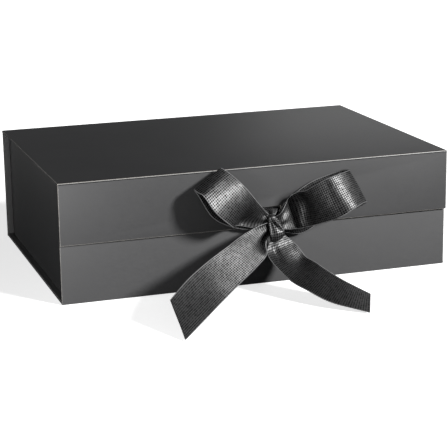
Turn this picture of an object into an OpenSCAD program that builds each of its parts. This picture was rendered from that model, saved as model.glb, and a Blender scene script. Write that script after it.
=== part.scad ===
// Magnetic gift box with a flap lid and a ribbon bow.
// Millimetres. +Z is up, the front faces -Y, and the origin is the middle of the base's underside.

/* [Box] */
// Width of the lid and the flap
lid_w = 350; // [300:1:420]
// Depth from the front wall's outer face to the spine's outer face
box_d = 242; // [200:1:300]
// Height of the closed box
box_h = 104; // [100:1:120]
// How far the flap reaches down from the top
flap_h = 53; // [52:1:56]
// How far the side walls stand in from the ends of the lid
side_inset = 6; // [4:0.5:10]
// How much narrower the case is than the lid, on each side
case_step = 0.3; // [0.2:0.1:1]

/* [Board and paper] */
// Thickness of the grey board
board_t = 2; // [1.5:0.1:3]
// Thickness of the wrapping and lining papers
paper_t = 0.2; // [0.15:0.05:0.3]
// Width of the wrapping paper that shows round the linings
turn_in = 3; // [2:0.5:6]
// Gap between the lid's underside and the top edges of the walls
lid_gap = 0.4; // [0.2:0.1:0.8]
// Gap between the front wall and the flap, where the ribbon passes
flap_gap = 0.5; // [0.5:0.1:1.5]
// Gap between the lid's underside and the flap board's top edge
fold_gap = 0.2; // [0.1:0.1:0.5]

/* [Corner ears] */
// Length of an ear along the side wall
ear_l = 36; // [20:1:50]
// Thickness of an ear
ear_t = 1.2; // [0.8:0.1:1.6]
// Length of the slanted part at an ear's free end
ear_taper = 10; // [5:1:15]
// Thickness of the adhesive tape behind an ear
tape_t = 0.2; // [0.1:0.05:0.4]
// Width of the adhesive tape
tape_w = 15; // [8:1:18]

/* [Magnets] */
// Diameter of a magnet
magnet_d = 10; // [6:1:14]
// Thickness of a magnet
magnet_t = 1.2; // [0.8:0.1:1.3]
// Distance of the magnets from the middle of the box
magnet_x = 120; // [80:5:140]
// Height of the magnets above the flap's lower edge
magnet_z = 12; // [8:1:16]

/* [Ribbon] */
// Width of the ribbon
ribbon_w = 35; // [33:1:36]
// Thickness of the ribbon where it lies against the flap
ribbon_t = 0.25; // [0.2:0.05:0.3]
// Thickness of the bow's loops and tails
bow_t = 0.8; // [0.6:0.1:1]
// Height of the slot in the flap
slot_h = 2.4; // [1.6:0.1:4]
// Height of the slot above the flap's lower edge
slot_z = 16; // [14:1:18]

/* [Hidden] */

// A wrapped panel: board with paper on both faces
panel_t = board_t + 2 * paper_t;
// Half widths of the lid, of the case and of the box's inside
lid_x = lid_w / 2;
case_x = lid_x - case_step;
inner_x = lid_x - side_inset - panel_t;
// Outer and inner faces of the front wall and the spine
wall_y = box_d / 2;
wall_in_y = wall_y - panel_t;
// Heights of the base's top, the walls' top edges and the lid's underside
base_top = panel_t;
lid_z = box_h - panel_t;
wall_top = lid_z - lid_gap;
// Inner and outer faces of the flap, and its lower edge
flap_in_y = -(wall_y + flap_gap);
flap_out_y = flap_in_y - panel_t;
flap_z = box_h - flap_h;
// Height of the slot's middle, and its half width round the ribbon
slot_mid = flap_z + slot_z;
slot_clear = 1;
slot_x = ribbon_w / 2 + slot_clear;
// Clear space on each side of the ribbon in the gap behind the flap
band_clear = (flap_gap - ribbon_t) / 2;
// How far the ribbon stands clear of the flap's outer face and of its lower edge
band_front = 1;
band_under = 0.6;
// How far the ribbon runs on from the slot, and up from the flap's lower edge, to the knot
band_run = 5;
// Clear space between the base and an ear, and between an ear's slants and its tape
ear_clear = 2;
tape_clear = 3;
// Steps between two stations of a loop or tail
steps = 5;
// How far a cutting block runs past what it cuts
over = 1;

paper_black = "#1d1d1f";
board_grey = "#8a857c";
ribbon_black = "#141416";
steel = "#9a9a9e";
tape_white = "#d8d8d4";

// The bow's stretches: at each station the ribbon's upper and lower edge, from the knot outwards
left_loop_edges = [
    [[7, -132, 63], [4, -133, 51]],
    [[-3, -134, 72], [-13, -135, 53]],
    [[-12, -139, 82], [-30, -147, 58]],
    [[-22, -142, 94], [-49, -154, 74]],
    [[-31, -141, 103], [-59, -153, 89]],
    [[-37, -136, 107], [-63, -145, 92]],
    [[-33, -129, 102], [-57, -131, 84]],
    [[-21, -127, 89], [-43, -128, 63]],
    [[-6, -127, 74], [-20, -127, 52]],
    [[7, -128, 62], [4, -128, 50]]
];
right_loop_edges = [
    [[13, -132, 63], [16, -134, 50]],
    [[26, -135, 77], [37, -140, 50]],
    [[33, -146, 85], [45, -154, 57]],
    [[44, -157, 95], [56, -166, 64]],
    [[55, -158, 99], [68, -168, 71]],
    [[67, -152, 100], [80, -160, 73]],
    [[73, -144, 99], [86, -152, 71]],
    [[70, -134, 97], [82, -143, 65]],
    [[60, -129, 93], [73, -135, 60]],
    [[44, -127, 87], [57, -131, 55]],
    [[25, -127, 75], [37, -128, 43]],
    [[13, -127, 61], [17, -128, 46]]
];
left_tail_edges = [
    [[4, -138, 55], [3, -139, 44]],
    [[-21, -143, 52], [-1, -143, 32]],
    [[-40, -155, 46], [-16, -155, 24]],
    [[-59, -165, 39], [-35, -165, 14]],
    [[-84, -185, 31], [-60, -185, 5]],
    [[-107, -210, 23], [-106, -247, 2]]
];
right_tail_edges = [
    [[17, -134, 44], [7, -136, 44]],
    [[27, -135, 37], [-1, -145, 31]],
    [[34, -149, 29], [7, -168, 17]],
    [[42, -168, 21], [17, -190, 11]],
    [[53, -187, 14], [31, -212, 5]],
    [[67, -205, 7], [54, -234, 1]]
];
// Corners of the knot: the balls that its rounded block is stretched over
knot_balls = [[9, -136, 59], [12, -136, 46], [9, -129, 60], [12, -129, 45]];
knot_r = 4.5;
// Facets round a magnet and round one of the knot's balls
disc_sides = 48;
knot_sides = 24;

// A block between two opposite corners
module block(low, high) {
    translate(low) cube(high - low);
}

// Both mirror images of a piece that sits on +X
module both_sides() {
    children();
    mirror([1, 0, 0]) children();
}

// A flat wall of board and paper that lies in XZ, with its outer face at y = 0 and its inside to +Y.
// The paper covers the outer face, the ends and the top edge, and shows round the lining.
module wall_wrap(half_w, bottom, top, show_x) {
    block([-half_w, 0, 0], [half_w, paper_t, top]);
    both_sides() block([half_w - paper_t, paper_t, bottom], [half_w, panel_t, top]);
    block([paper_t - half_w, paper_t, top - paper_t], [half_w - paper_t, panel_t, top]);
    both_sides() block([show_x, panel_t - paper_t, bottom], [half_w - paper_t, panel_t, top - paper_t]);
    block([-show_x, panel_t - paper_t, top - turn_in], [show_x, panel_t, top - paper_t]);
}

module wall_board(half_w) {
    block([paper_t - half_w, paper_t, base_top], [half_w - paper_t, paper_t + board_t, wall_top - paper_t]);
}

module wall_liner() {
    block([-inner_x, panel_t - paper_t, base_top], [inner_x, panel_t, wall_top - turn_in]);
}

// Two discs side by side, standing on edge with their axis along Y
module discs(front_y, thick) {
    both_sides() translate([magnet_x, front_y, flap_z + magnet_z]) rotate([-90, 0, 0])
        cylinder(d = magnet_d, h = thick, $fn = disc_sides);
}

module base_board() {
    color(board_grey) block([paper_t - case_x, paper_t - wall_y, paper_t],
        [case_x - paper_t, wall_y - paper_t, base_top - paper_t]);
}

module base_wrap() {
    color(paper_black) {
        block([-case_x, paper_t - wall_y, 0], [case_x, wall_y - paper_t, paper_t]);
        both_sides() {
            block([case_x - paper_t, paper_t - wall_y, paper_t], [case_x, wall_y - paper_t, base_top]);
            block([inner_x, paper_t - wall_y, base_top - paper_t],
                [case_x - paper_t, wall_y - paper_t, base_top]);
        }
    }
}

module base_liner() {
    color(paper_black) block([-inner_x, paper_t - wall_y, base_top - paper_t],
        [inner_x, wall_y - paper_t, base_top]);
}

module front_board() {
    color(board_grey) difference() {
        translate([0, -wall_y, 0]) wall_board(case_x);
        discs(paper_t - wall_y, magnet_t);
    }
}

module wall_magnets() {
    color(steel) discs(paper_t - wall_y, magnet_t);
}

module front_wrap() {
    color(paper_black) translate([0, -wall_y, 0]) wall_wrap(case_x, base_top, wall_top, inner_x);
}

module front_liner() {
    color(paper_black) translate([0, -wall_y, 0]) wall_liner();
}

module spine_board() {
    color(board_grey) translate([0, wall_y, 0]) mirror([0, 1, 0]) wall_board(case_x);
}

// The spine's paper runs on above the board: the lid folds along its top edge
module spine_wrap() {
    color(paper_black) {
        translate([0, wall_y, 0]) mirror([0, 1, 0]) wall_wrap(case_x, base_top, wall_top, inner_x);
        block([-case_x, wall_y - paper_t, wall_top], [case_x, wall_y, box_h - paper_t]);
    }
}

module spine_liner() {
    color(paper_black) translate([0, wall_y, 0]) mirror([0, 1, 0]) wall_liner();
}

// The right side wall's outline, grown or shrunk by the paper's thickness
module side_block(cover) {
    block([inner_x + paper_t - cover, -wall_in_y + paper_t - cover, base_top],
        [inner_x + panel_t - paper_t + cover, wall_in_y - paper_t + cover, wall_top - paper_t + cover]);
}

module side_board() {
    color(board_grey) side_block(0);
}

module side_wrap() {
    color(paper_black) difference() {
        side_block(paper_t);
        side_block(0);
    }
}

// An ear in the front right corner: a slanted wing flat against the side wall
module ear() {
    ear_low = base_top + ear_clear;
    ear_high = wall_top - turn_in;
    color(paper_black) translate([inner_x - tape_t, -wall_in_y, 0]) rotate([90, 0, -90])
        linear_extrude(ear_t) polygon([
            [0, ear_low], [0, ear_high],
            [-ear_l, ear_high - ear_taper], [-ear_l, ear_low + ear_taper]
        ]);
}

module ear_tapes() {
    tape_y = ear_l - tape_w - tape_clear;
    color(tape_white) both_sides() for (side = [0, 1]) mirror([0, side, 0])
        block([inner_x - tape_t, tape_y - wall_in_y, base_top + ear_taper + tape_clear],
            [inner_x, tape_y + tape_w - wall_in_y, wall_top - turn_in - ear_taper - tape_clear]);
}

module lid_board() {
    color(board_grey) block([paper_t - lid_x, flap_out_y + paper_t, lid_z + paper_t],
        [lid_x - paper_t, wall_y - paper_t, box_h - paper_t]);
}

module lid_wrap() {
    color(paper_black) difference() {
        block([-lid_x, flap_out_y, lid_z], [lid_x, wall_y, box_h]);
        lid_block();
        block([turn_in - lid_x, flap_out_y + turn_in, lid_z - over],
            [lid_x - turn_in, wall_y - turn_in, lid_z + over]);
        block([-lid_x - over, flap_out_y - over, lid_z - over],
            [lid_x + over, flap_out_y + paper_t, box_h - paper_t]);
        block([-lid_x - over, wall_y - paper_t, lid_z - over],
            [lid_x + over, wall_y + over, box_h - paper_t]);
    }
}

// The space of the lid's board
module lid_block() {
    block([paper_t - lid_x, flap_out_y + paper_t, lid_z + paper_t],
        [lid_x - paper_t, wall_y - paper_t, box_h - paper_t]);
}

module lid_liner() {
    color(paper_black) block([turn_in - lid_x, flap_out_y + turn_in, lid_z],
        [lid_x - turn_in, wall_y - turn_in, lid_z + paper_t]);
}

// The slot's opening, run through the flap from front to back
module slot_cut() {
    block([-slot_x, flap_out_y - over, slot_mid - slot_h / 2],
        [slot_x, flap_in_y + over, slot_mid + slot_h / 2]);
}

// The space of the flap's board
module flap_block() {
    block([paper_t - lid_x, flap_out_y + paper_t, flap_z + paper_t],
        [lid_x - paper_t, flap_in_y - paper_t, lid_z - fold_gap]);
}

module flap_board() {
    color(board_grey) difference() {
        flap_block();
        slot_cut();
        discs(flap_in_y - paper_t - magnet_t, magnet_t);
    }
}

// The flap's paper runs up over the lid's front edge: the flap folds along its top
module flap_wrap() {
    color(paper_black) difference() {
        union() {
            block([-lid_x, flap_out_y, flap_z], [lid_x, flap_in_y, lid_z - fold_gap]);
            block([-lid_x, flap_out_y, lid_z - fold_gap], [lid_x, flap_out_y + paper_t, box_h - paper_t]);
        }
        flap_block();
        flap_window();
        slot_cut();
    }
}

// The part of the flap's inner face that the lining covers
module flap_window() {
    block([turn_in - lid_x, flap_in_y - paper_t, flap_z + turn_in],
        [lid_x - turn_in, flap_in_y, lid_z - fold_gap]);
}

module flap_liner() {
    color(paper_black) difference() {
        flap_window();
        slot_cut();
    }
}

module flap_magnets() {
    color(steel) discs(flap_in_y - paper_t - magnet_t, magnet_t);
}

// The flat run of the ribbon: out of the slot, down behind the flap and round its lower edge
module ribbon_band() {
    half = ribbon_w / 2;
    back_y = flap_in_y + band_clear;
    front_y = flap_out_y - band_front;
    under_z = flap_z - band_under;
    color(ribbon_black) {
        block([-half, back_y, under_z - ribbon_t], [half, back_y + ribbon_t, slot_mid + ribbon_t]);
        block([-half, front_y, slot_mid], [half, back_y, slot_mid + ribbon_t]);
        block([-half, front_y, under_z - ribbon_t], [half, back_y, under_z]);
        block([-half, front_y - ribbon_t, slot_mid - band_run], [half, front_y, slot_mid + ribbon_t]);
        block([-half, front_y - ribbon_t, under_z - ribbon_t], [half, front_y, under_z + band_run]);
    }
}

module bow_knot() {
    color(ribbon_black) hull() for (ball = knot_balls) translate(ball) sphere(r = knot_r, $fn = knot_sides);
}

// Point between p1 and p2 on a smooth curve through four points
function curve(p0, p1, p2, p3, t) =
    0.5 * (2 * p1 + (p2 - p0) * t + (2 * p0 - 5 * p1 + 4 * p2 - p3) * t * t
        + (3 * p1 - p0 - 3 * p2 + p3) * t * t * t);

// A smooth edge through the stations, side 0 for the upper and 1 for the lower edge
function smooth(edges, side) = let (last = len(edges) - 1) [
    for (i = [0 : last - 1], k = [0 : steps - 1])
        curve(edges[max(i - 1, 0)][side], edges[i][side], edges[i + 1][side],
            edges[min(i + 2, last)][side], k / steps),
    edges[last][side]
];

function unit(v) = v / norm(v);

// A strip of ribbon between two smooth edges, of even thickness
module strip(edges) {
    upper = smooth(edges, 0);
    lower = smooth(edges, 1);
    last = len(upper) - 1;
    mid = [for (i = [0 : last]) (upper[i] + lower[i]) / 2];
    rise = [for (i = [0 : last])
        unit(cross(mid[min(i + 1, last)] - mid[max(i - 1, 0)], upper[i] - lower[i])) * bow_t / 2];
    points = [for (i = [0 : last])
        each [upper[i] + rise[i], lower[i] + rise[i], lower[i] - rise[i], upper[i] - rise[i]]];
    sides = [for (i = [0 : last - 1], k = [0 : 3])
        each [[4 * i + k, 4 * i + 4 + k, 4 * i + (k + 1) % 4],
            [4 * i + (k + 1) % 4, 4 * i + 4 + k, 4 * i + 4 + (k + 1) % 4]]];
    ends = [[0, 1, 2, 3], [4 * last + 3, 4 * last + 2, 4 * last + 1, 4 * last]];
    color(ribbon_black) polyhedron(points, concat(sides, ends));
}

base_board();
base_wrap();
base_liner();
front_board();
front_wrap();
front_liner();
wall_magnets();
spine_board();
spine_wrap();
spine_liner();
mirror([1, 0, 0]) side_board();  // left_side_board
mirror([1, 0, 0]) side_wrap();  // left_side_wrap
side_board();  // right_side_board
side_wrap();  // right_side_wrap
mirror([1, 0, 0]) ear();  // front_left_ear
ear();  // front_right_ear
mirror([1, 0, 0]) mirror([0, 1, 0]) ear();  // back_left_ear
mirror([0, 1, 0]) ear();  // back_right_ear
ear_tapes();
lid_board();
lid_wrap();
lid_liner();
flap_board();
flap_wrap();
flap_liner();
flap_magnets();
ribbon_band();
bow_knot();
strip(left_loop_edges);  // left_loop
strip(right_loop_edges);  // right_loop
strip(left_tail_edges);  // left_tail
strip(right_tail_edges);  // right_tail
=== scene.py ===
"""Looks of the magnetic gift box: wrapped paper panels, paper folds and a satin ribbon bow."""

import math

import bmesh
import bpy
from mathutils import Matrix, Vector, noise


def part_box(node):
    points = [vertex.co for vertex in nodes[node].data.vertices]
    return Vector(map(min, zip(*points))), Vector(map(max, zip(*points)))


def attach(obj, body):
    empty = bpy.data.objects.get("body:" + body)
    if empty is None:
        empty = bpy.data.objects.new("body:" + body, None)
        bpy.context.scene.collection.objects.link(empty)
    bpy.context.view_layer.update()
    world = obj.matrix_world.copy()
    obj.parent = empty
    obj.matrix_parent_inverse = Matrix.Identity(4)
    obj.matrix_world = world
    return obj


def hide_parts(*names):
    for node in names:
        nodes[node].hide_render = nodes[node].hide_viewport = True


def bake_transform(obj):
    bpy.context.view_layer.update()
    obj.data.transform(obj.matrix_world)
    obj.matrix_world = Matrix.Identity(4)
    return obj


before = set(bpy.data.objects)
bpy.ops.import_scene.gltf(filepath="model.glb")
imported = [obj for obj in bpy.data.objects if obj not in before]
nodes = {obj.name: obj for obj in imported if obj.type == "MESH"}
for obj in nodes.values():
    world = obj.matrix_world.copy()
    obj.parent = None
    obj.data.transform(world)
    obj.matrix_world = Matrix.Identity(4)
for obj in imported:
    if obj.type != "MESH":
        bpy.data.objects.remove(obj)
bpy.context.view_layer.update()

MM = 0.001
PAPER = 0.2 * MM          # thickness of the wrapping paper
EDGE_R = 0.8 * MM         # rounding of the paper over a board's edge
FOLD_R = 1.0 * MM         # rounding of a fold between two panels
EDGE_SEGMENTS = 5
RIBBON_W = 35 * MM
RIBBON_T = 0.35 * MM
WEAVE = 1.9 * MM          # repeat of the ribbon's weave
SELVEDGE = 0.8 * MM       # width of the ribbon's finished edge
SLOT_SLACK = 1.0 * MM     # how much wider than the ribbon the flap's slot is, at each end
SLOT_HALF_HEIGHT = 1.2 * MM
SAME = 1e-6               # two coordinates closer than this lie in one plane

WORN_AND_HIGHLIGHT = (0.2, 0.195, 0.19)  # pale rounded edges: print cracked along a fold, and a painted highlight along the edge
WHITE = (1, 1, 1, 1)

CAMERA_PLACE = (-0.4291, -1.3294, 0.3859)
CAMERA_AZIMUTH, CAMERA_ELEVATION, CAMERA_ROLL = 18.19, 14.54, -0.9  # degrees
CAMERA_LENS = 124.3       # mm, on a 36 mm sensor

KEY_ENERGY = 5.8
KEY_SPREAD = 10           # degrees that the key light covers in the sky
KEY_ACROSS, KEY_HEIGHT = 40, 27  # degrees to the right of the front, and above the table

ROOM_GREY, ROOM_STRENGTH = (0.9, 0.93, 1.0, 1), 0.02
FLOOR_HALF = 3.0
FLOOR_DROP = 0.3 * MM     # keeps the table clear of the box's underside
FLOOR_GREY = (0.85, 0.85, 0.85, 1)
GLOW_TO_LIGHT, GLOW_TO_CAMERA = 0.04, 0.72


# ---------------------------------------------------------------- camera, floor and lights

def make_camera():
    """The camera of a product shot, from the front left and a little above."""
    azimuth, elevation, roll = (
        math.radians(a) for a in (CAMERA_AZIMUTH, CAMERA_ELEVATION, CAMERA_ROLL))
    forward = Vector((
        math.sin(azimuth) * math.cos(elevation),
        math.cos(azimuth) * math.cos(elevation),
        -math.sin(elevation),
    ))
    level = Vector((math.cos(azimuth), -math.sin(azimuth), 0))
    upward = level.cross(forward)
    right = math.cos(roll) * level + math.sin(roll) * upward
    up = math.cos(roll) * upward - math.sin(roll) * level
    data = bpy.data.cameras.new("camera")
    data.sensor_width = 36
    data.lens = CAMERA_LENS
    camera = bpy.data.objects.new("camera", data)
    turn = Matrix((right, up, -forward)).transposed()
    camera.matrix_world = Matrix.Translation(CAMERA_PLACE) @ turn.to_4x4()
    bpy.context.scene.collection.objects.link(camera)
    bpy.context.scene.camera = camera


def area_light(name, place, target, size, power):
    """A rectangular lamp, aimed at a target and hidden from the camera."""
    data = bpy.data.lights.new(name, "AREA")
    data.shape = "RECTANGLE"
    data.size, data.size_y = size
    data.energy = power
    light = bpy.data.objects.new(name, data)
    light.location = place
    light.rotation_euler = (Vector(target) - Vector(place)).to_track_quat("-Z", "Y").to_euler()
    light.visible_camera = False
    bpy.context.scene.collection.objects.link(light)


def make_lights():
    """A soft key from the front right, a weak fill at the left, and two panels behind for sheen."""
    key = bpy.data.lights.new("key", "SUN")
    key.energy = KEY_ENERGY
    key.angle = math.radians(KEY_SPREAD)
    sun = bpy.data.objects.new("key", key)
    across, height = math.radians(KEY_ACROSS), math.radians(KEY_HEIGHT)
    toward_sun = Vector((math.sin(across) * math.cos(height), -math.cos(across) * math.cos(height),
                         math.sin(height)))
    sun.rotation_euler = toward_sun.to_track_quat("Z", "Y").to_euler()
    bpy.context.scene.collection.objects.link(sun)
    area_light("lid_sheen", (0.53, 0.8, 0.35), (0.1, 0, 0.1), (0.4, 0.25), 0.25)
    area_light("left_fill", (-0.3, -0.38, 0.078), (-0.15, -0.12, 0.06), (0.1, 0.04), 0.5)
    area_light("side_sheen", (-0.65, 0.75, 0.12), (-0.17, 0, 0.06), (0.3, 0.15), 0.2)


def make_world():
    """A white backdrop for the camera, and a dim grey room for the light."""
    world = bpy.data.worlds.new("studio")
    world.use_nodes = True
    tree = world.node_tree
    room = tree.nodes["Background"]
    room.inputs["Color"].default_value = ROOM_GREY
    room.inputs["Strength"].default_value = ROOM_STRENGTH
    backdrop = tree.nodes.new("ShaderNodeBackground")
    backdrop.inputs["Color"].default_value = WHITE
    seen = tree.nodes.new("ShaderNodeLightPath")
    mixed = tree.nodes.new("ShaderNodeMixShader")
    tree.links.new(seen.outputs["Is Camera Ray"], mixed.inputs["Fac"])
    tree.links.new(room.outputs["Background"], mixed.inputs[1])
    tree.links.new(backdrop.outputs["Background"], mixed.inputs[2])
    tree.links.new(mixed.outputs["Shader"], tree.nodes["World Output"].inputs["Surface"])
    bpy.context.scene.world = world
    bpy.context.scene.view_settings.view_transform = "Standard"


def make_floor():
    """A plain white table, which glows strongly for the camera and hardly at all for the box."""
    mesh = bpy.data.meshes.new("floor")
    half = FLOOR_HALF
    corners = [(-half, -half, 0), (half, -half, 0), (half, half, 0), (-half, half, 0)]
    mesh.from_pydata(corners, [], [(0, 1, 2, 3)])
    floor = bpy.data.objects.new("floor", mesh)
    floor.location.z = -FLOOR_DROP
    material, shader, tree = new_material("floor_white")
    shader.inputs["Base Color"].default_value = FLOOR_GREY
    shader.inputs["Roughness"].default_value = 0.9
    shader.inputs["Emission Color"].default_value = WHITE
    seen = tree.nodes.new("ShaderNodeLightPath").outputs["Is Camera Ray"]
    tree.links.new(spread_to(tree, seen, GLOW_TO_LIGHT, GLOW_TO_CAMERA), shader.inputs["Emission Strength"])
    mesh.materials.append(material)
    bpy.context.scene.collection.objects.link(floor)
    floor.visible_glossy = False


# ---------------------------------------------------------------- materials

def new_material(name):
    material = bpy.data.materials.new(name)
    material.use_nodes = True
    tree = material.node_tree
    return material, tree.nodes["Principled BSDF"], tree


def add(tree, kind, **settings):
    """A shader node with its properties, or its inputs by name, set."""
    made = tree.nodes.new(kind)
    for key, value in settings.items():
        if key in made.inputs:
            made.inputs[key].default_value = value
        else:
            setattr(made, key, value)
    return made


def noise_at(tree, coordinate, scale, detail=3.0, roughness=0.5):
    made = add(tree, "ShaderNodeTexNoise", Scale=scale, Detail=detail, Roughness=roughness)
    tree.links.new(coordinate, made.inputs["Vector"])
    return made.outputs["Fac"]


def spread_to(tree, value, low, high, at=(0.0, 1.0)):
    """Map a value from the range at onto low to high."""
    made = add(tree, "ShaderNodeMapRange")
    for key, number in zip(("From Min", "From Max", "To Min", "To Max"), (*at, low, high)):
        made.inputs[key].default_value = number
    tree.links.new(value, made.inputs["Value"])
    return made.outputs["Result"]


def blend_colours(tree, share, first, second):
    """Mix two colours by a share; the first may be the output of another node."""
    made = tree.nodes.new("ShaderNodeMix")
    made.data_type = "RGBA"
    if isinstance(first, tuple):
        made.inputs["A"].default_value = (*first, 1)
    else:
        tree.links.new(first, made.inputs["A"])
    made.inputs["B"].default_value = (*second, 1)
    tree.links.new(share, made.inputs["Factor"])
    return made.outputs["Result"]


def calculate(tree, operation, *values):
    made = tree.nodes.new("ShaderNodeMath")
    made.operation = operation
    for socket, value in zip(made.inputs, values):
        if isinstance(value, (int, float)):
            socket.default_value = value
        else:
            tree.links.new(value, socket)
    return made.outputs["Value"]


def bump_to(tree, shader, height, strength, distance):
    made = add(tree, "ShaderNodeBump", Strength=strength, Distance=distance)
    tree.links.new(height, made.inputs["Height"])
    tree.links.new(made.outputs["Normal"], shader.inputs["Normal"])


def paper_material(name, dark, light, roughness, film):
    """Matte laminated paper: fine fibres, faint mottling, uneven gloss, and pale edges along its folds,
    partly wear and partly a painted highlight.
    """
    material, shader, tree = new_material(name)
    place = add(tree, "ShaderNodeTexCoord").outputs["Object"]
    mottle = noise_at(tree, place, 22, 4)
    fibre = noise_at(tree, place, 2600, 2)
    pores = noise_at(tree, place, 700, 3, 0.6)
    share = calculate(tree, "ADD", calculate(tree, "MULTIPLY", mottle, 0.7),
                      calculate(tree, "MULTIPLY", fibre, 0.3))
    sound = blend_colours(tree, spread_to(tree, share, 0, 1, (0.3, 0.7)), dark, light)
    # pale rounded edges: wear along the folds, and a painted highlight where the edges would catch the light
    wear_and_highlight = calculate(tree, "MULTIPLY", add(tree, "ShaderNodeAttribute", attribute_name="wear_and_highlight").outputs["Fac"],
                     spread_to(tree, noise_at(tree, place, 90, 3), 0.55, 1.0, (0.3, 0.6)))
    tree.links.new(blend_colours(tree, wear_and_highlight, sound, WORN_AND_HIGHLIGHT), shader.inputs["Base Color"])
    tree.links.new(spread_to(tree, pores, roughness - 0.05, roughness + 0.06, (0.3, 0.7)),
                   shader.inputs["Roughness"])
    shader.inputs["Specular IOR Level"].default_value = 1.0
    shader.inputs["Coat Weight"].default_value = film
    shader.inputs["Coat Roughness"].default_value = 0.5
    grain = calculate(tree, "ADD", calculate(tree, "MULTIPLY", fibre, 0.4), pores)
    bump_to(tree, shader, grain, 0.12, 0.00006)
    return material


def board_material():
    """Raw grey board: pressed recycled fibres with pale and dark flecks."""
    material, shader, tree = new_material("grey_board")
    place = add(tree, "ShaderNodeTexCoord").outputs["Object"]
    flecks = noise_at(tree, place, 900, 5, 0.7)
    tree.links.new(blend_colours(tree, spread_to(tree, flecks, 0, 1, (0.35, 0.65)),
                                 (0.22, 0.2, 0.18), (0.4, 0.38, 0.34)), shader.inputs["Base Color"])
    shader.inputs["Roughness"].default_value = 0.9
    bump_to(tree, shader, flecks, 0.4, 0.0002)
    return material


def ribbon_material():
    """Black satin ribbon: a check of raised glossy threads between dull ones, and a paler selvedge."""
    material, shader, tree = new_material("satin_ribbon")
    parts = tree.nodes.new("ShaderNodeSeparateXYZ")
    tree.links.new(add(tree, "ShaderNodeUVMap", uv_map="ribbon").outputs["UV"], parts.inputs["Vector"])
    along, across = parts.outputs["X"], parts.outputs["Y"]
    rate = math.pi / WEAVE
    waves = [calculate(tree, "SINE", calculate(tree, "MULTIPLY", calculate(tree, way, along, across), rate))
             for way in ("ADD", "SUBTRACT")]
    weave = calculate(tree, "MULTIPLY", *waves)
    place = add(tree, "ShaderNodeTexCoord").outputs["Object"]
    slub = noise_at(tree, place, 420, 3)
    from_edge = calculate(tree, "SUBTRACT", RIBBON_W / 2, calculate(tree, "ABSOLUTE", across))
    selvedge = calculate(tree, "LESS_THAN", from_edge, SELVEDGE)
    mixed = calculate(tree, "ADD", calculate(tree, "MULTIPLY", weave, 0.5), slub)
    cloth = blend_colours(tree, spread_to(tree, mixed, 0, 1, (0.0, 1.0)), (0.0005, 0.0005, 0.0005),
                          (0.014, 0.014, 0.0145))
    tree.links.new(blend_colours(tree, selvedge, cloth, (0.12, 0.12, 0.122)), shader.inputs["Base Color"])
    tree.links.new(spread_to(tree, mixed, 0.54, 0.4, (0.0, 1.0)), shader.inputs["Roughness"])
    tree.links.new(spread_to(tree, mixed, 0.0, 1.0, (0.1, 0.7)), shader.inputs["Specular IOR Level"])
    tree.links.new(spread_to(tree, mixed, 0.0, 0.7, (0.2, 0.8)), shader.inputs["Coat Weight"])
    shader.inputs["Coat Roughness"].default_value = 0.55
    height = calculate(tree, "ADD", calculate(tree, "MULTIPLY", mixed, 0.5), selvedge)
    bump_to(tree, shader, height, 0.7, 0.0004)
    return material


def magnet_material():
    """Nickel plating with a fine turned grain."""
    material, shader, tree = new_material("nickel")
    place = add(tree, "ShaderNodeTexCoord").outputs["Object"]
    grain = noise_at(tree, place, 1500, 3)
    tree.links.new(blend_colours(tree, grain, (0.42, 0.41, 0.39), (0.62, 0.61, 0.58)),
                   shader.inputs["Base Color"])
    tree.links.new(spread_to(tree, grain, 0.2, 0.4), shader.inputs["Roughness"])
    shader.inputs["Metallic"].default_value = 1.0
    return material


def tape_material():
    """Clear adhesive tape, yellowish white with a faint grain."""
    material, shader, tree = new_material("adhesive_tape")
    place = add(tree, "ShaderNodeTexCoord").outputs["Object"]
    grain = noise_at(tree, place, 400, 4)
    tree.links.new(blend_colours(tree, grain, (0.62, 0.6, 0.52), (0.78, 0.77, 0.7)),
                   shader.inputs["Base Color"])
    shader.inputs["Roughness"].default_value = 0.45
    bump_to(tree, shader, grain, 0.1, 0.00005)
    return material


WRAP = paper_material("wrap_paper", (0.012, 0.012, 0.013), (0.018, 0.018, 0.019), 0.56, 1.0)
LINING = paper_material("lining_paper", (0.030, 0.030, 0.031), (0.040, 0.040, 0.041), 0.65, 0.3)
BOARD = board_material()
SATIN = ribbon_material()
NICKEL = magnet_material()
TAPE = tape_material()


# ---------------------------------------------------------------- paper panels

def mark_wear_and_highlight(mesh):
    """Give each face its share of edge wear and painted highlight: none on flat faces, and the most midway
    round a rounded edge.
    """
    wear_and_highlight = mesh.attributes.new("wear_and_highlight", "FLOAT", "FACE")
    flat, diagonal = 0.995, math.sqrt(0.5)
    for polygon in mesh.polygons:
        widest = max(abs(c) for c in polygon.normal)
        wear_and_highlight.data[polygon.index].value = min(max((flat - widest) / (flat - diagonal), 0.0), 1.0)


def new_piece(name, mesh, material, body, replaced=()):
    piece = bpy.data.objects.new(name, mesh)
    mesh.materials.clear()
    mesh.materials.append(material)
    bpy.context.scene.collection.objects.link(piece)
    for polygon in mesh.polygons:
        polygon.use_smooth = True
    if replaced:
        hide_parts(*replaced)
    if body:
        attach(piece, body)
    return piece


def apply_modifiers(piece):
    """Keep the piece's evaluated mesh, and drop its modifiers."""
    bpy.context.view_layer.update()
    evaluated = piece.evaluated_get(bpy.context.evaluated_depsgraph_get())
    mesh = bpy.data.meshes.new_from_object(evaluated)
    piece.modifiers.clear()
    piece.data = mesh


def filled_box(low, high):
    bm = bmesh.new()
    bmesh.ops.create_cube(bm, size=1)
    middle, size = (low + high) / 2, high - low
    for vert in bm.verts:
        vert.co = Vector(middle[i] + vert.co[i] * size[i] for i in range(3))
    return bm


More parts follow.
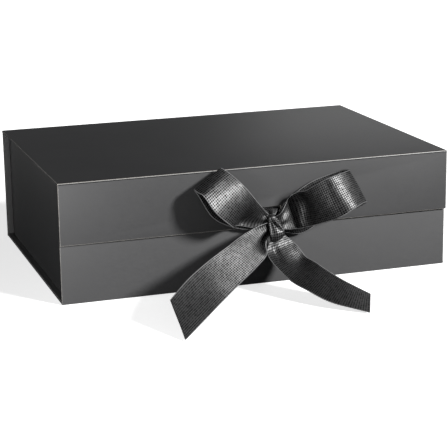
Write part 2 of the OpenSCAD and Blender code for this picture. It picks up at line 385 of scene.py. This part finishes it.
def wrapped_panel(name, low, high, open_planes=(), sharp=(), window=None):
    """A sheet of paper folded round a board that fills the box from low to high.

    open_planes are (axis, value) planes where the sheet is left open, sharp holds pairs of planes whose
    shared edge isn't rounded, and window is (axis, value, low, high): in the face on that plane, the part
    between low and high is left out for the lining.
    """
    def on(vert, plane):
        return abs(vert.co[plane[0]] - plane[1]) < SAME

    bm = filled_box(low, high)
    gone = [f for f in bm.faces if any(all(on(v, p) for v in f.verts) for p in open_planes)]
    bmesh.ops.delete(bm, geom=gone, context="FACES")

    def is_sharp(edge):
        if len(edge.link_faces) < 2:
            return True
        return any(all(on(v, p) and on(v, q) for v in edge.verts) for p, q in sharp)

    rounded = [e for e in bm.edges if not is_sharp(e)]
    bmesh.ops.bevel(bm, geom=rounded, offset=EDGE_R, offset_type="OFFSET", segments=EDGE_SEGMENTS,
                    profile=0.5, affect="EDGES", clamp_overlap=False)
    if window:
        cut_window(bm, *window)
    mesh = bpy.data.meshes.new(name)
    bm.to_mesh(mesh)
    bm.free()
    return mesh


def cut_window(bm, axis, value, low, high):
    """Leave out the part of a flat face inside a window, after cutting the mesh along its sides."""
    for side in range(3):
        if side == axis:
            continue
        for edge_at in (low[side], high[side]):
            normal = Vector((0, 0, 0))
            normal[side] = 1
            point = normal * edge_at
            flat = [f for f in bm.faces if all(abs(v.co[axis] - value) < SAME for v in f.verts)]
            verts = list({v for f in flat for v in f.verts})
            geometry = verts + list({e for f in flat for e in f.edges}) + flat
            bmesh.ops.bisect_plane(bm, geom=geometry, plane_co=point, plane_no=normal, dist=1e-7)
    inside = []
    for face in bm.faces:
        centre = face.calc_center_median()
        if abs(centre[axis] - value) > SAME:
            continue
        if all(low[s] < centre[s] < high[s] for s in range(3) if s != axis):
            inside.append(face)
    bmesh.ops.delete(bm, geom=inside, context="FACES")


def thicken(piece, thickness, offset=-1):
    solid = piece.modifiers.new("paper", "SOLIDIFY")
    solid.thickness = thickness
    solid.offset = offset
    solid.use_even_offset = False
    apply_modifiers(piece)


def box_cut(piece, low, high):
    """Cut a box-shaped hole through a piece."""
    bm = filled_box(low, high)
    mesh = bpy.data.meshes.new("cutter")
    bm.to_mesh(mesh)
    bm.free()
    cutter = bpy.data.objects.new("cutter", mesh)
    bpy.context.scene.collection.objects.link(cutter)
    cut = piece.modifiers.new("slot", "BOOLEAN")
    cut.operation = "DIFFERENCE"
    cut.object = cutter
    cut.solver = "EXACT"
    apply_modifiers(piece)
    bpy.data.objects.remove(cutter)


def shade_by_angle(mesh, degrees=40):
    mesh.set_sharp_from_angle(angle=math.radians(degrees))


def make_panel(name, body, low, high, replaced, slot_box=None, **shape):
    mesh = wrapped_panel(name, low, high, **shape)
    piece = new_piece(name, mesh, WRAP, None, replaced)
    thicken(piece, PAPER)
    if slot_box:
        box_cut(piece, *slot_box)
    mark_wear_and_highlight(piece.data)
    shade_by_angle(piece.data)
    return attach(piece, body)


def rolled_ends(half_x):
    """Places along a strip, each with how far it sinks, so that both ends roll over the panels' sides."""
    rolls = 5
    columns = []
    for side in (-1, 1):
        roll = [(side * (half_x - EDGE_R + EDGE_R * math.sin(b)), EDGE_R * (1 - math.cos(b)))
                for b in (math.pi / 2 * k / rolls for k in range(rolls + 1))]
        columns += roll[::-1] if side < 0 else roll
    return columns


def strip_faces(columns, rows, flipped):
    """The faces between neighbouring columns of a strip's points."""
    faces = []
    for i in range(columns - 1):
        for k in range(rows - 1):
            face = (i * rows + k, (i + 1) * rows + k, (i + 1) * rows + k + 1, i * rows + k + 1)
            faces.append(face[::-1] if flipped else face)
    return faces


def bridge_strip(name, body, half_x, face_y, low_z, high_z, toward):
    """The upright paper between a panel's top and the fold above it, with the same rolled ends."""
    columns = rolled_ends(half_x)
    points = [(x, face_y - toward * sunk, z) for x, sunk in columns for z in (low_z, high_z)]
    mesh = bpy.data.meshes.new(name)
    mesh.from_pydata(points, [], strip_faces(len(columns), 2, toward > 0))
    piece = new_piece(name, mesh, WRAP, None)
    thicken(piece, PAPER)
    mark_wear_and_highlight(piece.data)
    shade_by_angle(piece.data)
    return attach(piece, body)


def fold_strip(name, half_x, centre_y, top_z, toward):
    """The paper's rounded fold along the lid's front or back edge.

    It turns down from the lid's top round a centre line, to the front (toward = -1) or the back (+1), and
    its ends roll over the panels' sides.
    """
    turns = 8
    centre_z = top_z - FOLD_R
    columns = rolled_ends(half_x)
    run = 0.5 * MM
    points = []
    for x, sunk in columns:
        radius = FOLD_R - sunk
        points.append((x, centre_y - toward * run, centre_z + radius))
        for k in range(turns + 1):
            a = math.pi / 2 * k / turns
            points.append((x, centre_y + toward * radius * math.sin(a), centre_z + radius * math.cos(a)))
        points.append((x, centre_y + toward * radius, centre_z - run))
    faces = strip_faces(len(columns), turns + 3, toward < 0)
    mesh = bpy.data.meshes.new(name)
    mesh.from_pydata(points, [], faces)
    piece = new_piece(name, mesh, WRAP, None)
    thicken(piece, PAPER * 0.9)
    mark_wear_and_highlight(piece.data)
    shade_by_angle(piece.data)
    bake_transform(piece)
    return piece


def make_case():
    base_low, base_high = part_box("base_wrap")
    liner_low, liner_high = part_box("base_liner")
    make_panel("base_paper", "case", base_low, base_high, ["base_wrap"],
               open_planes=[(1, base_low.y), (1, base_high.y)],
               window=(2, base_high.z, liner_low - Vector((0, 1, 0)), liner_high + Vector((0, 1, 0))))
    low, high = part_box("front_wrap")
    liner_low, liner_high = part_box("front_liner")
    make_panel("front_paper", "case", low, high, ["front_wrap"], open_planes=[(2, low.z)],
               window=(1, high.y, liner_low - Vector((0, 0, 1)), liner_high))
    low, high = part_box("spine_wrap")
    liner_low, liner_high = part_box("spine_liner")
    board_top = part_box("spine_board")[1].z + PAPER
    wall_high = Vector((high.x, high.y, board_top))
    make_panel("spine_paper", "case", low, wall_high, ["spine_wrap"], open_planes=[(2, low.z)],
               sharp=[((1, high.y), (2, board_top))],
               window=(1, low.y, liner_low - Vector((0, 0, 1)), liner_high))
    bridge_strip("spine_fold_paper", "case", high.x, high.y, board_top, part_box("lid_wrap")[1].z - FOLD_R, 1)
    for side in ("left", "right"):
        low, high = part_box(side + "_side_wrap")
        make_panel(side + "_side_paper", "case", low, high, [side + "_side_wrap"],
                   open_planes=[(2, low.z)])


def make_lid():
    low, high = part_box("lid_wrap")
    inset = Vector((0, PAPER, 0))
    liner_low, liner_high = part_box("lid_liner")
    make_panel("lid_paper", "lid", low + inset, high - inset, ["lid_wrap"],
               window=(2, low.z, liner_low, liner_high))
    fold_strip("flap_fold_paper", high.x, low.y + FOLD_R, high.z, -1)
    fold_strip("lid_fold_paper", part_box("spine_wrap")[1].x, high.y - FOLD_R, high.z, 1)


def make_flap():
    low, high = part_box("flap_wrap")
    liner_low, liner_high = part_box("flap_liner")
    board_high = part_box("flap_board")[1]
    top = Vector((high.x, high.y, board_high.z))
    slot_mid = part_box("ribbon_band")[1].z - 0.125 * MM
    slot_half = Vector((RIBBON_W / 2 + SLOT_SLACK, high.y - low.y, SLOT_HALF_HEIGHT))
    slot_centre = Vector((0, (low.y + high.y) / 2, slot_mid))
    make_panel("flap_paper", "flap", low, top, ["flap_wrap"],
               slot_box=(slot_centre - slot_half, slot_centre + slot_half),
               sharp=[((1, low.y), (2, top.z))],
               window=(1, high.y, liner_low, liner_high - Vector((0, 0, 0.4 * MM))))
    bridge_strip("flap_fold_edge", "flap", high.x, low.y, top.z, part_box("lid_wrap")[1].z - FOLD_R, -1)


def paint_cad_nodes():
    """The CAD nodes whose own shape shows: boards, linings, ears, tapes and magnets."""
    for name, node in nodes.items():
        if name.endswith("_board"):
            material = BOARD
        elif name.endswith("_liner") or name.endswith("_ear"):
            material = LINING
        elif name.endswith("magnets"):
            material = NICKEL
        elif name.endswith("tapes"):
            material = TAPE
        elif name.endswith("_wrap"):
            material = WRAP
        else:
            material = SATIN
        node.data.materials.clear()
        node.data.materials.append(material)
        if name.endswith("_board"):
            soften(node, EDGE_R - PAPER)
        elif name.endswith("_ear"):
            soften(node, 0.4 * MM)


def soften(node, radius):
    bevel = node.modifiers.new("soft_edge", "BEVEL")
    bevel.width = radius
    bevel.segments = 3
    bevel.limit_method = "ANGLE"


# ---------------------------------------------------------------- ribbon

# The ribbon's upper and lower edge at each station, in millimetres, from the knot outwards
LEFT_LOOP = [
    ((10, -131, 60), (9, -131, 51)),
    ((4, -131, 64), (2, -131, 51)),
    ((-3, -134, 72), (-13, -135, 53)),
    ((-12, -139, 82), (-30, -147, 58)),
    ((-22, -142, 94), (-49, -154, 74)),
    ((-30, -137, 102), (-58, -149, 88)),
    ((-35, -133, 106), (-62, -143, 91)),
    ((-37, -130, 107), (-63, -136, 92)),
    ((-33, -129, 102), (-57, -131, 84)),
    ((-21, -127, 89), (-43, -128, 63)),
    ((-6, -127, 74), (-20, -127, 52)),
    ((7, -128, 62), (4, -128, 50)),
]
RIGHT_LOOP = [
    ((9, -132, 61), (10, -133, 51)),
    ((15, -134, 65), (18, -136, 50)),
    ((25, -131, 78), (35, -134, 49)),
    ((33, -145, 85), (45, -153, 57)),
    ((44, -157, 95), (56, -166, 64)),
    ((55, -158, 99), (68, -168, 71)),
    ((67, -152, 100), (80, -160, 73)),
    ((73, -144, 99), (86, -152, 71)),
    ((70, -134, 97), (82, -143, 65)),
    ((60, -129, 93), (73, -135, 60)),
    ((44, -127, 87), (57, -131, 55)),
    ((25, -127, 75), (37, -128, 43)),
    ((13, -127, 61), (17, -128, 46)),
]
LEFT_TAIL = [
    ((9, -131, 54), (8, -132, 47)),
    ((2, -134, 57), (2, -136, 44)),
    ((-21, -143, 52), (-2, -146, 33)),
    ((-40, -155, 46), (-16, -155, 24)),
    ((-59, -165, 39), (-35, -165, 14)),
    ((-84, -185, 31), (-60, -185, 4)),
    ((-107, -210, 23), (-106, -247, 1)),
]
RIGHT_TAIL = [
    ((14, -131, 48), (8, -133, 48)),
    ((19, -134, 44), (4, -137, 42)),
    ((27, -136, 37), (-1, -144, 31)),
    ((34, -149, 29), (7, -168, 17)),
    ((42, -168, 21), (17, -190, 11)),
    ((53, -187, 14), (31, -212, 5)),
    ((67, -205, 7), (54, -234, 1)),
]
# The knot's own band, over the front from behind the top to behind the bottom; right edge, then left
KNOT_BAND = [
    ((9, -129, 57), (4.5, -129, 56)),
    ((8.5, -133, 62.5), (3.8, -132.5, 61)),
    ((11.5, -135.5, 59.5), (3, -135, 57.5)),
    ((14.5, -138.5, 53.5), (2.8, -138.5, 52)),
    ((15.5, -140, 48), (3.2, -140, 46)),
    ((14.8, -137, 44), (4.8, -137.5, 41.5)),
    ((13.5, -131, 43), (6, -131, 41.5)),
    ((13, -129, 46), (6.5, -129, 45)),
]


def curve_point(p, i, t):
    """A point on the smooth curve through the points p, past point i by a share t of the way."""
    a, b = p[max(i - 1, 0)], p[i]
    c, d = p[i + 1], p[min(i + 2, len(p) - 1)]
    return 0.5 * (2 * b + (c - a) * t + (2 * a - 5 * b + 4 * c - d) * t * t
                  + (3 * b - a - 3 * c + d) * t * t * t)


def smooth_line(points, steps):
    line = [curve_point(points, i, k / steps) for i in range(len(points) - 1) for k in range(steps)]
    return line + [points[-1]]


def ribbon_strip(name, stations, replaced, section, steps=14, across=32):
    """A strip of satin between two smooth edges.

    section(along, total, side) gives where a thread of the strip lies: its share of the way from the lower
    edge to the upper, and how far it stands out of the bow's front.
    """
    upper = smooth_line([Vector(s[0]) * MM for s in stations], steps)
    lower = smooth_line([Vector(s[1]) * MM for s in stations], steps)
    last = len(upper) - 1
    centres = [(u + l) / 2 for u, l in zip(upper, lower)]
    lengths = [0.0]
    for k in range(last):
        lengths.append(lengths[-1] + (centres[k + 1] - centres[k]).length)
    normals = []
    for k in range(last + 1):
        ahead = centres[min(k + 1, last)] - centres[max(k - 1, 0)]
        normals.append(ahead.cross(upper[k] - lower[k]).normalized())
    outward = -1 if normals[2 * steps].y > 0 else 1
    points, uvs = [], []
    for k in range(last + 1):
        for j in range(across + 1):
            side = j / across
            share, height = section(lengths[k], lengths[-1], side)
            points.append(lower[k].lerp(upper[k], share) + normals[k] * outward * height)
            uvs.append((lengths[k], (side - 0.5) * RIBBON_W))
    row = across + 1
    faces = [(k * row + j, (k + 1) * row + j, (k + 1) * row + j + 1, k * row + j + 1)
             for k in range(last) for j in range(across)]
    mesh = bpy.data.meshes.new(name)
    mesh.from_pydata(points, [], faces)
    layer = mesh.uv_layers.new(name="ribbon")
    for loop in mesh.loops:
        layer.data[loop.index].uv = uvs[loop.vertex_index]
    piece = new_piece(name, mesh, SATIN, None, replaced)
    thicken(piece, RIBBON_T, 0)
    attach(piece, "flap")
    return piece


def hump(distance, reach):
    return math.exp(-(distance / reach) ** 2)


def creased(creases, gather=(18, 1.0, 2.5, 0.2), far_gather=False, seed=0.0):
    """A section with soft creases and with gathers that fade away from the knot, in millimetres.

    Each crease is (along, side, reach along, reach across, height); gather is (reach, height, count, phase).
    """
    reach, deep, count, phase = gather

    def section(along, total, side):
        height = sum(h * hump(along / MM - a, ra) * hump(side - b, rb) for a, b, ra, rb, h in creases)
        squeeze = hump(along / MM, reach)
        if far_gather:
            squeeze += hump((total - along) / MM, reach)
        height += deep * squeeze * math.sin(2 * math.pi * (count * side + phase))
        height += 0.5 * (1 - squeeze) * noise.noise(Vector((along * 45, side * 1.6, seed)))
        return side, height * MM
    return section


def rolled(along, total, side):
    """The knot's band: the ribbon rolled into a flat tube, with a slanting slit in its upper half."""
    turn = 2 * math.pi * (side - 0.5) * 0.97
    share = 0.5 + 0.5 * math.sin(turn)
    height = 1.7 * math.cos(turn)
    travel = along / total
    if math.cos(turn) > 0:
        slit_at = 0.38 + 1.5 * (travel - 0.27)
        height -= 2.4 * hump(share - slit_at, 0.09) * hump(travel - 0.36, 0.13)
        height += 0.7 * hump(share - slit_at - 0.2, 0.1) * hump(travel - 0.4, 0.16)
        height -= 0.9 * hump(share - 0.15, 0.05) * hump(travel - 0.5, 0.2)
        height += 0.5 * hump(share - 0.45, 0.15) * hump(travel - 0.6, 0.12)
    else:
        height += 0.5 * math.sin(9 * turn)
    return share, height * MM


def band_stations():
    """The ribbon from the knot up through the slot, down behind the flap, and round its edge to the knot.

    Each row of the path is (left x, right x, y, left z, right z) in millimetres.
    """
    low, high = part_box("ribbon_band")
    wide = RIBBON_W / MM / 2
    slot_bottom = high.z / MM - 0.9
    inside = high.y / MM - 0.12
    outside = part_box("flap_wrap")[0].y / MM
    under = low.z / MM + 0.1
    path = [(3, 8.5, -131.5, 59, 60), (1, 9.5, -131.5, 61.5, 62), (-5, 12.5, -129.5, 64.3, 64.2),
            (-12, 14.8, outside - 1.6, slot_bottom, slot_bottom),
            (-15, 16, outside, slot_bottom, slot_bottom),
            (-wide, wide, inside, slot_bottom - 0.6, slot_bottom - 0.6), (-wide, wide, inside, 59, 59),
            (-wide, wide, inside, under + 0.9, under + 0.9), (-16, wide, outside - 0.3, under, under),
            (-8, 15, -127.5, under + 1, under + 1), (5, 12, -129, 47, 47)]
    return [((right, y, right_z), (left, y, left_z)) for left, right, y, left_z, right_z in path]


def make_bow():
    ribbon_strip("bow_left_loop", LEFT_LOOP, ["left_loop"],
                 creased([(26, 0.1, 10, 0.5, -10), (40, 0.75, 14, 0.3, 1.5)], (12, 0.7, 2, 0.2),
                         far_gather=True, seed=1.0))
    ribbon_strip("bow_right_loop", RIGHT_LOOP, ["right_loop"],
                 creased([(30, 0.6, 9, 0.4, -6), (62, 0.3, 14, 0.3, 0.8)], (14, 0.7, 2, 0.2),
                         far_gather=True, seed=2.0))
    ribbon_strip("bow_left_tail", LEFT_TAIL, ["left_tail"],
                 creased([(16, 0.2, 8, 0.18, -9), (30, 0.6, 14, 0.2, 0.8)], (16, 0.9, 2, 0.1), seed=3.0))
    ribbon_strip("bow_right_tail", RIGHT_TAIL, ["right_tail"],
                 creased([(36, 0.75, 12, 0.4, -5), (20, 0.3, 9, 0.12, -2.5)], (10, 0.3, 2, 0.6), seed=4.0))
    ribbon_strip("bow_knot_band", KNOT_BAND, ["bow_knot"], rolled, across=64)
    ribbon_strip("bow_flap_band", band_stations(), ["ribbon_band"],
                 creased([(4, 0.62, 6, 0.09, -2.2), (4, 0.85, 6, 0.08, 0.6)], (10, 0.7, 2.5, 0.4), seed=5.0))


make_camera()
make_lights()
make_world()
make_floor()
paint_cad_nodes()
make_case()
make_lid()
make_flap()
make_bow()
